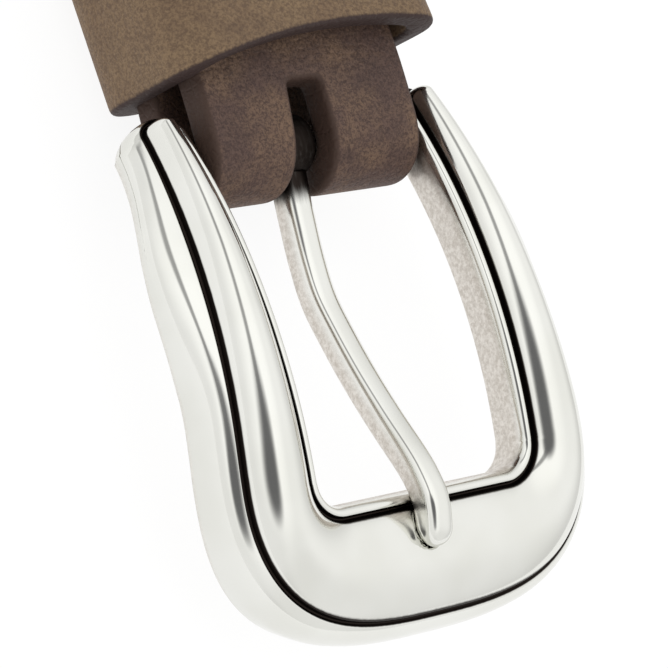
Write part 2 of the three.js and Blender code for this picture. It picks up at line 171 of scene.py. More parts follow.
def calculate(tree, operation, *values):
    node = tree.nodes.new("ShaderNodeMath")
    node.operation = operation
    for socket, value in zip(node.inputs, values):
        plug(socket, value)
    return node.outputs[0]


class Look:
    """A Principled material and short ways to add the nodes that feed it."""

    def __init__(self, name, **values):
        self.material = bpy.data.materials.new(name)
        self.material.use_nodes = True
        self.tree = self.material.node_tree
        self.shader = self.tree.nodes["Principled BSDF"]
        self.where = self.node("ShaderNodeTexCoord").outputs["Object"]
        for key, value in values.items():
            self.shader.inputs[key.replace("_", " ")].default_value = value

    def node(self, kind, **inputs):
        node = self.tree.nodes.new(kind)
        for key, value in inputs.items():
            plug(node.inputs[key.replace("_", " ")], value)
        return node

    def noise(self, size, detail=3.0, rough=0.55, stretch=(1, 1, 1)):
        """Noise whose features are about size mm, longer along an axis with a small stretch."""
        where = self.node("ShaderNodeMapping", Vector=self.where, Scale=stretch).outputs[0]
        return self.node("ShaderNodeTexNoise", Vector=where, Scale=1 / (size * MM), Detail=detail,
                         Roughness=rough).outputs["Fac"]

    def cells(self, size, feature="F1"):
        """Distance field of cells of about size mm."""
        node = self.node("ShaderNodeTexVoronoi", Vector=self.where, Scale=1 / (size * MM))
        node.feature = feature
        return node.outputs["Distance"]

    def mark(self, name):
        """A value that the mesh carries on its points."""
        node = self.tree.nodes.new("ShaderNodeAttribute")
        node.attribute_name = name
        return node.outputs["Fac"]

    def ramp(self, *values):
        """Takes what ease() takes after the tree."""
        return ease(self.tree, *values)

    def math(self, operation, a, b):
        return calculate(self.tree, operation, a, b)

    def blend(self, factor, a, b):
        return mix_colours(self.tree, factor, a, b)

    def feed(self, socket, value):
        plug(self.shader.inputs[socket], value)

    def bump(self, *layers):
        """Bump from (height, strength, depth in mm) layers, one on the other."""
        normal = None
        for height, strength, depth in layers:
            node = self.node("ShaderNodeBump", Height=height, Strength=strength,
                             Distance=depth * MM)
            if normal is not None:
                plug(node.inputs["Normal"], normal)
            normal = node.outputs[0]
        self.feed("Normal", normal)


def colour(red, green, blue):
    """sRGB 0-255 to the linear colour Blender works in."""
    linear = [(c / 255 / 12.92) if c <= 10 else ((c / 255 + 0.055) / 1.055) ** 2.4
              for c in (red, green, blue)]
    return (*linear, 1.0)


def silver_look():
    """Polished silver: mirror where rubbed bright, matte where marked satin, dark where tarnished in
    the grooves and with painted shade on the prong's eye.
    """
    look = Look("polished_silver", Metallic=1.0)
    # real tarnish in the frame's grooves, and painted shade on the prong's eye and the rod next to it,
    # down in the slot
    tarnish_and_painted_shade = look.mark("tarnish_and_painted_shade")
    satin = look.mark("satin")
    cloud = look.noise(9, 2)
    scratch = look.noise(0.35, 2, 0.6, (1, 0.12, 1))
    clean = look.blend(look.ramp(cloud, 0.35, 0.7), colour(229, 229, 224), colour(224, 224, 218))
    mottle = look.ramp(look.noise(0.6, 5, 0.75), 0.35, 0.65)
    matte = look.blend(mottle, colour(196, 189, 180), colour(228, 223, 216))
    soft = look.blend(satin, clean, matte)
    oxide_and_shade_weight = look.ramp(look.math("ADD", tarnish_and_painted_shade, look.math("MULTIPLY", scratch, 0.25)), 0.2, 0.85)
    # the dark colour is tarnish in the grooves and painted shade on the prong's eye and the rod next
    # to it
    look.feed("Base Color", look.blend(oxide_and_shade_weight, soft, colour(40, 34, 31)))
    rough = look.ramp(look.math("ADD", satin, look.math("MULTIPLY", scratch, 0.12)), 0, 1.1,
                      0.1, 0.4)
    look.feed("Roughness", look.math("ADD", rough, look.math("MULTIPLY", oxide_and_shade_weight, 0.25)))
    pits = look.noise(0.5, 3, 0.6)
    look.bump((look.noise(14, 1), 0.12, 0.35), (look.math("MULTIPLY", pits, satin), 0.25, 0.06),
              (scratch, 0.03, 0.02))
    return look.material


def steel_look():
    """Plain steel brushed across, for the bar, staples and rivets."""
    look = Look("brushed_steel", Metallic=1.0)
    brushed = look.noise(0.25, 3, 0.6, (0.06, 1, 1))
    cloud = look.noise(3)
    look.feed("Base Color", look.blend(look.ramp(cloud, 0.3, 0.75), colour(190, 188, 182),
                                       colour(160, 156, 148)))
    look.feed("Roughness", look.ramp(brushed, 0.2, 0.8, 0.24, 0.42))
    look.bump((brushed, 0.15, 0.03))
    return look.material


def leather_look(name, deep, body, rubbed, edge, patch, speckle):
    """Full-grain leather: pebbled pores, drifting colour, rubbed high spots and a darker cut edge."""
    look = Look(name, Specular_IOR_Level=0.32)
    drift = look.ramp(look.noise(patch, 4, 0.6), 0.36, 0.66)
    pore = look.cells(0.75)
    crease = look.cells(1.3, "DISTANCE_TO_EDGE")
    fine = look.noise(0.22, 4, 0.65)
    grain = look.noise(0.42, 4, 0.7)
    tone = look.blend(drift, body, rubbed)
    dark = look.ramp(look.math("ADD", grain, look.math("MULTIPLY", fine, 0.7)), 0.7, 1.02)
    tone = look.blend(look.math("MULTIPLY", dark, speckle), tone, deep)
    blot = look.ramp(look.noise(patch * 0.6, 5, 0.7), 0.52, 0.75)
    tone = look.blend(look.math("MULTIPLY", blot, 0.4), tone, deep)
    cut = look.ramp(look.math("ADD", look.mark("edge"), look.math("MULTIPLY", grain, 0.3)),
                    0.62, 1.0)
    look.feed("Base Color", look.blend(cut, tone, edge))
    look.feed("Roughness", look.ramp(fine, 0.2, 0.8, 0.55, 0.8))
    look.bump((look.noise(3.5, 3), 0.35, 0.5), (look.ramp(crease, 0.0, 0.18), 0.35, 0.12),
              (pore, 0.3, 0.1), (fine, 0.45, 0.08))
    return look.material


SILVER = silver_look()
STEEL = steel_look()
FOLD_LEATHER = leather_look("fold_leather", colour(58, 43, 40), colour(94, 73, 65),
                            colour(122, 97, 78), colour(72, 54, 46), 8, 0.75)
KEEPER_LEATHER = leather_look("keeper_leather", colour(78, 60, 50), colour(124, 101, 77),
                              colour(134, 111, 84), colour(58, 43, 40), 14, 0.65)


# ---- mesh helpers --------------------------------------------------------------------------------
def mesh_object(name, points, faces, material, body, marks=None, levels=0):
    """A smooth-shaded piece from points in mm from the bar, riding on its body.

    marks: {attribute: one value for each point}.
    """
    mesh = bpy.data.meshes.new(name)
    mesh.from_pydata([place(*p) for p in points], [], faces)
    for key, values in (marks or {}).items():
        attribute = mesh.attributes.new(key, "FLOAT", "POINT")
        attribute.data.foreach_set("value", values)
    work = bmesh.new()
    work.from_mesh(mesh)
    bmesh.ops.recalc_face_normals(work, faces=work.faces)
    work.to_mesh(mesh)
    work.free()
    mesh.materials.append(material)
    mesh.polygons.foreach_set("use_smooth", [True] * len(mesh.polygons))
    piece = bpy.data.objects.new(name, mesh)
    bpy.context.scene.collection.objects.link(piece)
    if levels:
        smoothing = piece.modifiers.new("smooth", "SUBSURF")
        smoothing.levels = smoothing.render_levels = levels
    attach(piece, body)
    return piece


def skin(rings, closed=True):
    """Points and faces over rings of equal length; closed ends are fanned to a middle point."""
    n = len(rings[0])
    points = [p for ring in rings for p in ring]
    faces = [(i * n + j, i * n + (j + 1) % n, (i + 1) * n + (j + 1) % n, (i + 1) * n + j)
             for i in range(len(rings) - 1) for j in range(n)]
    if closed:
        for ring, base in ((rings[0], 0), (rings[-1], (len(rings) - 1) * n)):
            middle = len(points)
            points.append(tuple(sum(p[k] for p in ring) / n for k in range(3)))
            faces += [(base + j, base + (j + 1) % n, middle) for j in range(n)]
    return points, faces


def lathe(profile, to_point, segments):
    """Rings of a turned shape. profile is (radius, height) points, to_point maps (a, b, height)."""
    angles = [k / segments * math.tau for k in range(segments)]
    return [[to_point(r * math.cos(a), r * math.sin(a), h) for a in angles] for r, h in profile]


def rounded(radius, low, high, bevel, steps=4):
    """Profile of a turned rod or disc with rounded rims."""
    angles = [k / steps * math.pi / 2 for k in range(steps + 1)]
    core = radius - bevel
    return ([(core + bevel * math.sin(a), low + bevel - bevel * math.cos(a)) for a in angles]
            + [(core + bevel * math.cos(a), high - bevel + bevel * math.sin(a)) for a in angles])


def spline(points, steps):
    """Catmull-Rom through points of any dimension, steps to a span."""
    out = []
    for i in range(len(points) - 1):
        a, b, c, d = (points[max(0, i - 1)], points[i], points[i + 1],
                      points[min(len(points) - 1, i + 2)])
        for k in range(steps):
            t = k / steps
            out.append(tuple(0.5 * (2 * q + (r - p) * t + (2 * p - 5 * q + 4 * r - s) * t * t
                                    + (3 * q - p - 3 * r + s) * t ** 3)
                             for p, q, r, s in zip(a, b, c, d)))
    return out + [tuple(points[-1])]


class Path:
    """A polyline in a plane, walked by its length."""

    def __init__(self, points):
        self.points = points
        self.at = [0.0]
        for (ya, za), (yb, zb) in zip(points, points[1:]):
            self.at.append(self.at[-1] + math.hypot(yb - ya, zb - za))
        self.length = self.at[-1]

    def span(self, s):
        """The stretch that a length falls in, and how far along it."""
        low, high = 0, len(self.at) - 1
        while high - low > 1:
            middle = (low + high) // 2
            if self.at[middle] <= s:
                low = middle
            else:
                high = middle
        return low, (s - self.at[low]) / max(1e-9, self.at[low + 1] - self.at[low])

    def point(self, s):
        i, t = self.span(s)
        (ya, za), (yb, zb) = self.points[i], self.points[i + 1]
        return mix(ya, yb, t), mix(za, zb, t)

    def tangent(self, s, reach=0.4):
        (ya, za), (yb, zb) = self.point(max(0, s - reach)), self.point(min(self.length, s + reach))
        d = math.hypot(yb - ya, zb - za)
        return (yb - ya) / d, (zb - za) / d


# ---- prong ---------------------------------------------------------------------------------------
prong_path = Path(spline(PRONG_LINE, 12))


def prong_section(s):
    """Centre, up direction and half sizes of the prong at a length along it."""
    u = s / prong_path.length
    y, z = prong_path.point(s)
    ty, tz = prong_path.tangent(s)
    near_tip = max(0.0, 1 - (prong_path.length - s) / PRONG_TIP)
    size = (1 - PRONG_TAPER * u) * math.sqrt(max(0.0, 1 - near_tip ** 2))
    return (PRONG_X - PRONG_LEAN * u, y, z), (tz, -ty), PRONG_W / 2 * size, PRONG_H / 2 * size


def prong_rod():
    """The rod of the prong with its satin underside, and painted shade with some tarnish next to the
    eye, where it sits down in the slot.
    """
    steps, tip_steps, sides = 150, 16, 56
    last = 0.985                         # the rounding stops just short of the point
    stem = prong_path.length - PRONG_TIP
    lengths = [stem * k / steps for k in range(steps + 1)]
    lengths += [stem + PRONG_TIP * math.sin(k / tip_steps * math.pi / 2 * last)
                for k in range(1, tip_steps + 1)]
    rings, satin, tarnish_and_painted_shade = [], [], []
    for s in lengths:
        (x, y, z), (uy, uz), a, b = prong_section(s)
        ring = []
        for j in range(sides):
            w = j / sides * math.tau
            c, d = math.cos(w), math.sin(w)
            across = a * math.copysign(abs(c) ** 0.75, c)
            up = b * math.copysign(abs(d) ** 0.85, d)
            ring.append((x + across, y + uy * up, z + uz * up))
            polished = smooth(d, -0.1, 0.62)
            satin.append((1 - polished) * (1 - smooth(s / prong_path.length, 0.86, 0.97)))
            # painted shade: the rod is darkened next to the eye, where it sits down in the slot
            tarnish_and_painted_shade.append(0.7 * (1 - smooth(s, 1.5, 5.0)))
        rings.append(ring)
    points, faces = skin(rings)
    satin += [0.0] * (len(points) - len(satin))
    tarnish_and_painted_shade += [0.0] * (len(points) - len(tarnish_and_painted_shade))
    return points, faces, satin, tarnish_and_painted_shade


def prong_eye():
    """The eye of the prong: a turned ring round the bar."""
    half, rim, bore, sides = PRONG_W / 2, 0.5, BAR_R + 0.06, 56
    profile = [(bore, -half)] + rounded(EYE_R, -half, half, rim) + [(bore, half)]
    points, faces = skin(lathe(profile, lambda a, b, h: (PRONG_X + h, a, b), sides), closed=False)
    last = (len(profile) - 1) * sides
    faces += [(last + j, last + (j + 1) % sides, (j + 1) % sides, j) for j in range(sides)]
    return points, faces


def prong():
    points, faces, satin, tarnish_and_painted_shade = prong_rod()
    eye_points, eye_faces = prong_eye()
    base = len(points)
    points += eye_points
    faces += [tuple(base + v for v in face) for face in eye_faces]
    satin += [0.6] * len(eye_points)
    # painted shade on the eye, which sits down in the slot, with some tarnish
    tarnish_and_painted_shade += [0.7] * len(eye_points)
    piece = mesh_object("prong_forged", points, faces, SILVER, "tongue",
                        {"satin": satin, "tarnish_and_painted_shade": tarnish_and_painted_shade})
    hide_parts("prong")


# ---- frame ---------------------------------------------------------------------------------------
BOW_TOP = BOW_R - (BOW_R + BAR_H) * math.cos(BAR_S / BOW_R)


def bowed(x, s, h):
    """A point of the flat casting (across, along, height) carried onto the bow."""
    turn = s / BOW_R
    return (x, BOW_Y + (BOW_R + h) * math.sin(turn), BOW_TOP + (BOW_R + h) * math.cos(turn) - BOW_R)


def outer_half(s):
    """Half the width between the outer grooves, which narrows toward the bar."""
    return OUTER_HALF - OUTER_TAPER * (s - OUTER_S)


def outer_reach(x, s, dx, ds):
    """Distance from a point to the outer groove along a direction in the plan."""
    def outside(t):
        px, ps = x + dx * t, s + ds * t
        if ps >= OUTER_S:
            return px > outer_half(ps)
        depth = (OUTER_S - ps) / (OUTER_S - TIP_S + RAIL)
        return (px / outer_half(ps)) ** OUTER_POWER + depth ** OUTER_POWER > 1

    low, high = 0.0, 40.0
    for _ in range(40):
        middle = (low + high) / 2
        if outside(middle):
            high = middle
        else:
            low = middle
    return low


def fall_at(s):
    """How steep the rim falls away: 0 at the arm ends, 1 from the middle of the arms to the rail."""
    return min(1.0, max(0.0, (FALL_S - s) / FALL_RUN))


# Rim of the casting beyond the groove, as (outer: out, shallow height, steep height; lip: out, height)
RIM = [(0.32, -0.02, -0.1, 0.32, 0.12), (0.75, -0.25, -0.38, 0.6, 0.22), (1.3, -0.6, -0.9, 0.95, 0.1),
       (1.8, -1.1, -1.75, 1.25, -0.3), (2.25, -1.7, -2.95, 1.45, -1.0), (2.5, -2.3, -4.2, 1.5, -2.1)]
RIM_W = 2.5                              # the outer width that RIM is drawn for
# The turn from the rim to the back, as (outer: out, height over the back; lip: out)
BACK_TURN = [(2.45, 0.75, 0.85), (2.0, 0.15, 0.45), (1.3, 0.0, -0.2)]
BEAD_FOOT = 0.2                          # height of the bead's foot over the groove's edge
CROWN_STEPS, RIM_STEPS = 26, 4
GROOVE_FLOOR = [(-0.22, -0.2), (-0.1, -0.42), (0.1, -0.42), (0.22, -0.2)]


def half_section(station, side, thin=1.0):
    """Half a section from the crest over one groove to the middle of the back, with its marks.

    side: 0 outer bead, 1 inner lip, between them on the arm's end. thin scales the rim's width.
    Entries are (distance from crest, height, tarnish, satin).
    """
    half, step, rise, fall, wide, tuck = (
        station[key] for key in ("half", "step", "rise", "fall", "wide", "tuck"))
    crest, level = step / 2 + rise, step * (1 - side)
    foot = level + BEAD_FOOT
    out = []
    for k in range(CROWN_STEPS + 1):
        f = math.sin(k / CROWN_STEPS * math.pi / 2)
        h = foot + (crest - foot) * (1 - f * f) ** 0.75
        out.append(((half - GROOVE_W) * f, h, 1 - smooth(h - level, 0.2, 0.62), 0.0))
    out += [(half + r, level + h, 1.0, 0.0) for r, h in GROOVE_FLOOR]
    back = BACK_H + (station["lift"] - BACK_DROP * fall) * (1 - side)
    rim = RIM + [(2.55, back + 2.0 - level, back + 1.6 - level, 1.2, -3.6 - level)]
    rim += [(w, back + over - level, back + over - level, inner, back + over - level)
            for w, over, inner in BACK_TURN]
    shape = []
    for w, shallow, steep, lip, lip_height in rim:
        height = mix(shallow, steep, fall)
        outward = w * (1 + wide / RIM_W) * (1 - TUCK * tuck)
        shape.append((half + mix(outward, lip, side) * thin,
                      level + mix(height, lip_height, side)))
    shape.append((0.0, BACK_H - BACK_DROP * fall / 2))
    for k, (r, h) in enumerate(spline(shape, RIM_STEPS)):
        tarnish_and_painted_shade = 1 - smooth(r - half, 0.22, 0.42) if k < 2 * RIM_STEPS else 0.0
        lip_satin = smooth(k, 3 * RIM_STEPS, 4.5 * RIM_STEPS)
        bead_satin = smooth(k, 6 * RIM_STEPS, 8 * RIM_STEPS)
        out.append((r, h, tarnish_and_painted_shade, side * lip_satin + (1 - side) * bead_satin))
    return out


ARM_STEPS, CORNER_STEPS, RAIL_STEPS = 60, 40, 40
FULL_RISE_W, LEAST_RISE = 14.0, 0.6      # a bead under (1 - LEAST_RISE) * FULL_RISE_W is lower


def station_at(x, s, dx, ds):
    """Measures of the section that starts at a point of the inner groove and runs outward."""
    width = outer_reach(x, s, dx, ds)
    rail = max(0.0, -ds) ** 2
    return {"x": x, "s": s, "dx": dx, "ds": ds, "half": width / 2, "fall": fall_at(s),
            "step": mix(ARM_STEP, RAIL_STEP, rail),
            "rise": (ARM_RISE * min(1, LEAST_RISE + width / FULL_RISE_W)
                     + (RAIL_RISE - ARM_RISE) * rail),
            "tuck": smooth(s, TUCK_S, TUCK_S + TUCK_RUN),
            "lift": LIFT * smooth(s, LIFT_S, LIFT_S + LIFT_RUN),
            "wide": RAIL_WIDE * rail + ARM_WIDE * smooth(s, WIDE_S, WIDE_S + WIDE_RUN)}


def stations():
    """Stations along the inner groove, from the right arm's end to the middle of the rail."""
    out = []
    corner_s, corner_x = TIP_S + CORNER_R, GROOVE_HALF - CORNER_R
    for k in range(ARM_STEPS + 1):
        s = mix(ARM_END_S - ARM_ROUND, corner_s, k / ARM_STEPS)
        out.append(station_at(GROOVE_HALF + GROOVE_FLARE * (s - TIP_S), s, 1.0, 0.0))
    for k in range(1, CORNER_STEPS + 1):
        a = k / CORNER_STEPS * math.pi / 2
        out.append(station_at(corner_x + CORNER_R * math.cos(a), corner_s - CORNER_R * math.sin(a),
                              math.cos(a), -math.sin(a)))
    for k in range(1, RAIL_STEPS + 1):
        out.append(station_at(corner_x * (1 - k / RAIL_STEPS), TIP_S, 0.0, -1.0))
    return out


SEAT_GAP, SEAT_SIDE = 0.08, 0.13         # room under and beside the prong's tip
SEAT_RUN = 2.0                           # the seat runs out this far past the tip
SEAT_FROM, SEAT_TO, SEAT_LOW = -34.0, -52.0, 4.0     # only points in here can be in the seat
SEAT_LENGTHS = [prong_path.length * (0.7 + 0.3 * k / 120) for k in range(121)]


def seated(point):
    """Pushes a point of the rail down to the seat that the prong's tip rests in."""
    x, y, z = point
    if not SEAT_TO < y < SEAT_FROM or z < SEAT_LOW:
        return point
    s = min(SEAT_LENGTHS, key=lambda length: abs(prong_path.point(length)[0] - y))
    (px, py, pz), _, a, b = prong_section(s)
    across = abs(x - px) / (a + SEAT_SIDE)
    beyond = abs(y - py) / SEAT_RUN
    if across >= 1 or beyond >= 1:
        return point
    # close to the superellipse of the prong's section
    under = pz - (b + SEAT_GAP) * (1 - across ** 2.67) ** 0.43 * math.sqrt(1 - beyond ** 2)
    return (x, y, min(z, under))


END_TURNS = 40                           # sections round an arm's end


def arm_end(points, marks, faces, station, first, around):
    """Closes an arm with sections turned half round, from its outer bead to its inner lip.

    first is the index of the first point of the arm's last ring, around the ring's length.
    """
    upper = (around + 2) // 2
    x, s, half = station["x"], station["s"], station["half"]
    out = math.copysign(1, x)
    before = [first + j for j in range(upper)]
    pole, back = before[0], before[-1]
    for k in range(1, END_TURNS + 1):
        a = k / END_TURNS * math.pi
        if k == END_TURNS:
            now = [pole] + [first + around - j for j in range(1, upper - 1)] + [back]
        else:
            now = [pole] + [len(points) + j for j in range(upper - 2)] + [back]
            thin = 1 - END_THIN * math.sin(a) ** 0.6
            for r, h, tarnish_and_painted_shade, satin in half_section(station, (1 - math.cos(a)) / 2, thin)[1:-1]:
                points.append(bowed(x + out * (half + r * math.cos(a)), s + r * math.sin(a), h))
                marks.append((tarnish_and_painted_shade, satin))
        for j in range(upper - 1):
            faces.append(tuple(dict.fromkeys((before[j], before[j + 1], now[j + 1], now[j]))))
        before = now


def buckle_frame():
    right = stations()
    left = [{**station, "x": -station["x"], "dx": -station["dx"]} for station in right[-2::-1]]
    every = right + left
    rings, marks = [], []
    for station in every:
        x, s, dx, ds, half = (station[key] for key in ("x", "s", "dx", "ds", "half"))
        crest_x, crest_s = x + dx * half, s + ds * half
        section = [(1, *entry) for entry in half_section(station, 0)]
        section += [(-1, *entry) for entry in half_section(station, 1)[-2:0:-1]]
        rings.append([bowed(crest_x + way * dx * r, crest_s + way * ds * r, h)
                      for way, r, h, _, _ in section])
        marks += [entry[3:] for entry in section]
    points, faces = skin(rings, closed=False)
    around = len(rings[0])
    for index in (0, len(rings) - 1):
        arm_end(points, marks, faces, every[index], index * around, around)
    piece = mesh_object("frame_cast", [seated(p) for p in points], faces, SILVER, "buckle",
                        {"tarnish_and_painted_shade": [tarnish_and_painted_shade for tarnish_and_painted_shade, _ in marks],
                         "satin": [satin for _, satin in marks]})
    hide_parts("frame")


def heel_bar():
    profile = rounded(BAR_R, -BAR_HALF, BAR_HALF, 0.4)
    points, faces = skin(lathe(profile, lambda a, b, h: (h, a, b), 48))
    piece = mesh_object("heel_bar_turned", points, faces, STEEL, "buckle")
    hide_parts("heel_bar")


# ---- leather -------------------------------------------------------------------------------------
LEATHER_LEVELS = 2           # subdivision that rounds the leather's edges


def hide(name, rows, columns, put, thick, gaps, material, body):
    """A cut piece of leather as one closed shell.

    rows are lengths along it, columns(row) the same number of places across it, put(along, across,
    above) the point in mm, and gaps(i, j) is true where a cell is cut out.
    """
    across = [columns(row) for row in rows]
    cells = {(i, j) for i in range(len(rows) - 1) for j in range(len(across[0]) - 1)
             if not gaps(i, j)}
    heights = [thick / 2, thick / 2 - EDGE, EDGE - thick / 2, -thick / 2]
    bottom = len(heights) - 1
    points, edge, index = [], [], {}

    def vertex(i, j, level):
        key = (i, j, level)
        if key not in index:
            index[key] = len(points)
            points.append(put(rows[i], across[i][j], heights[level]))
            edge.append(0.0)
        return index[key]

    faces = []
    for i, j in sorted(cells):
        loop = [(i, j), (i, j + 1), (i + 1, j + 1), (i + 1, j)]
        for level in (0, bottom):
            faces.append(tuple(vertex(*corner, level) for corner in loop))
        for (a, b), beside in zip(zip(loop, loop[1:] + loop[:1]),
                                  [(i - 1, j), (i, j + 1), (i + 1, j), (i, j - 1)]):
            if beside in cells:
                continue
            for level in range(bottom):
                faces.append((vertex(*a, level), vertex(*b, level), vertex(*b, level + 1),
                              vertex(*a, level + 1)))
                for corner in (a, b):
                    edge[vertex(*corner, level)] = edge[vertex(*corner, level + 1)] = 1.0
    return mesh_object(name, points, faces, material, body, {"edge": edge}, LEATHER_LEVELS)


def cells_in(low, high, step):
    """How many cells about step wide fill low to high, the two narrow ones at the ends among them."""
    return max(1, round((high - low - 2 * EDGE) / step)) + 2


def spread(low, high, cells):
    """The places that part low to high into cells, with a narrow cell at each end for the rounding."""
    inner = [mix(low + EDGE, high - EDGE, k / (cells - 2)) for k in range(cells - 1)]
    return [low] + inner + [high]


def spaced(low, high, step):
    return spread(low, high, cells_in(low, high, step))


def strap_line():
    """Middle line of the folded strap: flap, round the bar, down onto the flap, cut end."""
    r, shut = FOLD_R - LEATHER / 2, (LEATHER + LAYER_GAP) / 2

    def side(sign, end):
        run = []
        for k in range(1, 41):
            u = k / 40
            run.append((CLOSED_Y * u, sign * mix(r, shut, smooth(u, 0.13, 1.0))))
        return run + [(end, sign * shut)]

    nose = [(r * math.cos(a), r * math.sin(a))
            for a in (-math.pi / 2 - k / 48 * math.pi for k in range(49))]
    return Path(side(-1, FLAP_END)[::-1] + nose + side(1, STRAP_END))


ALONG, SLOT_ALONG, SLOT_ACROSS = 2.2, 1.6, 2.0       # cell sizes of the strap


def strap():
    """The folded strap, with the slot that the prong turns in."""
    path = strap_line()
    places = list(zip(path.at, path.points))
    middle = next(s for s, (y, z) in places if y < 0 and z >= 0)
    slot_low = max(s for s, (y, z) in places if y > SLOT_END and s < middle)
    slot_high = min(s for s, (y, z) in places if y > SLOT_END and s > middle)
    rows = spaced(0, slot_low, ALONG) + spaced(slot_low, slot_high, SLOT_ALONG)[1:]
    rows += spaced(slot_high, path.length, ALONG)[1:]
    first, last = rows.index(slot_low), rows.index(slot_high)
    half = STRAP_W / 2
    left_cells = cells_in(-half, SLOT_LEFT_NOSE, ALONG)
    slot_cells = cells_in(SLOT_LEFT_NOSE, SLOT_RIGHT, SLOT_ACROSS)
    right_cells = cells_in(SLOT_RIGHT, half, ALONG)

    def columns(s):
        y = min(SLOT_END, path.point(min(max(s, slot_low), slot_high))[0])
        slot_left = mix(SLOT_LEFT_BACK, SLOT_LEFT_NOSE, (SLOT_END - y) / (SLOT_END + FOLD_R))
        return (spread(-half, slot_left, left_cells)[:-1]
                + spread(slot_left, SLOT_RIGHT, slot_cells)[:-1]
                + spread(SLOT_RIGHT, half, right_cells))

    def put(s, x, n):
        y, z = path.point(s)
        ty, tz = path.tangent(s)
        return x, y - tz * n, z + ty * n

    def gaps(i, j):
        return first <= i < last and left_cells <= j < left_cells + slot_cells

    piece = hide("strap_folded", rows, columns, put, LEATHER, gaps, FOLD_LEATHER, "strap")
    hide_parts("strap_fold")


KEEPER_MIDDLE = KEEPER_Y + KEEPER_L / 2


def skewed(x, y, z):
    """The keeper sits a little askew on the strap."""
    y -= KEEPER_MIDDLE
    c, s = math.cos(KEEPER_SKEW), math.sin(KEEPER_SKEW)
    return x * c - y * s + KEEPER_X, x * s + y * c + KEEPER_MIDDLE, z


def arc(cx, cz, radius, start, steps):
    """A quarter turn of points round (cx, cz), counterclockwise from start degrees."""
    angles = [math.radians(start + k * 90 / steps) for k in range(steps + 1)]
    return [(cx + radius * math.cos(a), cz + radius * math.sin(a)) for a in angles]


def keeper():
    """The keeper's band, from the seam underneath round over the face and back to the seam."""
    low, high = BAND / 2 - KEEPER_LOW, KEEPER_HIGH - BAND / 2
    half, seam = KEEPER_HALF - BAND / 2, 0.15
    over, under = KEEPER_TURN - BAND / 2, KEEPER_TURN_LOW - BAND / 2
    flat, face, turn = 6, 20, 12         # points to each stretch
    bottom = [(seam + k / flat * (half - under - seam), low) for k in range(flat)]
    line = bottom + arc(half - under, low + under, under, -90, turn)
    line += arc(half - over, high - over, over, 0, turn)
    line += [((half - over) * (1 - 2 * k / face), high) for k in range(1, face)]
    line += arc(over - half, high - over, over, 90, turn)
    line += arc(under - half, low + under, under, 180, turn)
    line += [(-x, z) for x, z in reversed(bottom)]
    path = Path(line)

    def put(s, v, n):
        x, z = path.point(s)
        tx, tz = path.tangent(s)
        raised = max(0.0, (z - low) / (high - low))
        lift = raised * KEEPER_ARCH * (1 - (x / half) ** 2)
        drop = raised * KEEPER_TILT * (v + KEEPER_L / 2 - KEEPER_LEVEL)
        return skewed(x + tz * n, KEEPER_MIDDLE + v + lift, z - tx * n - drop)

    rows = spaced(0, path.length, 1.8)
    across = spaced(-KEEPER_L / 2, KEEPER_L / 2, 2.2)
    piece = hide("keeper_loop_band", rows, lambda _: across, put, BAND, lambda i, j: False,
                 KEEPER_LEATHER, "keeper_loop")
    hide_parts("keeper")


# ---- fittings ------------------------------------------------------------------------------------
def staples():
    """Wire staples across the butted ends of the keeper, crowns underneath."""
    base = STAPLE_R + PLAY - KEEPER_LOW
    bend, turn, sides, steps = 0.5, 6, 20, 60
    left, right = bend - STAPLE_HALF, STAPLE_HALF - bend
    path = Path([(-STAPLE_HALF, base + STAPLE_LEG), *arc(left, base + bend, bend, 180, turn),
                 *arc(right, base + bend, bend, 270, turn), (STAPLE_HALF, base + STAPLE_LEG)])
    for number, y in enumerate((KEEPER_Y + STAPLE_IN, KEEPER_Y + KEEPER_L - STAPLE_IN), 1):
        rings = []
        for s in [path.length * k / steps for k in range(steps + 1)]:
            x, z = path.point(s)
            tx, tz = path.tangent(s, 0.15)
            rings.append([skewed(x - tz * STAPLE_R * math.cos(w), y + STAPLE_R * math.sin(w),
                                 z + tx * STAPLE_R * math.cos(w))
                          for w in (k / sides * math.tau for k in range(sides))])
        points, faces = skin(rings)
        piece = mesh_object(f"staple_wire_{number}", points, faces, STEEL, "keeper_loop")
        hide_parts(f"keeper_staple_{number}")


def rivets():
    """Double-cap rivets that close the fold behind the keeper."""
    face = LEATHER + LAYER_GAP / 2
    top = face + PLAY
    rim, dome, flat = RIVET_CAP_R - 0.12, RIVET_CAP_R * 0.75, 0.3
    cap = [(RIVET_POST_R - 0.1, face - 0.45), (RIVET_POST_R - 0.1, top), (rim, top),
           (RIVET_CAP_R, top + 0.1), (rim, top + 0.24), (dome, top + 0.34),
           (RIVET_CAP_R * 0.4, top + RIVET_CAP_T - 0.01), (flat, top + RIVET_CAP_T)]
    post = [(RIVET_POST_R, face - 0.6), (RIVET_POST_R, -top), (rim, -top),
            (RIVET_CAP_R, -top - 0.1), (rim, -top - 0.24), (dome, -top - 0.34),
            (flat, -top - RIVET_CAP_T)]
    for number, x in enumerate((-RIVET_X, RIVET_X), 1):
        def turned(a, b, h, x=x):
            return x + a, RIVET_Y + b, h

        for kind, profile in (("cap", cap), ("post", post)):
            points, faces = skin(lathe(profile, turned, 48))
            piece = mesh_object(f"rivet_{kind}_{number}_turned", points, faces, STEEL, "strap")
            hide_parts(f"rivet_{kind}_{number}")


# ---- stage ---------------------------------------------------------------------------------------
CAMERA_UP = Vector((0.13313, 0.95681, 0.25845))
CAMERA_BACK = Vector((-0.64212, -0.11536, 0.75787))
CAMERA_AT = (-269.85, -70.31, 317.52)    # mm from the bar
CAMERA_LENS, SENSOR = 202.4, 36
FLOOR_HALF = 3.0                         # in metres

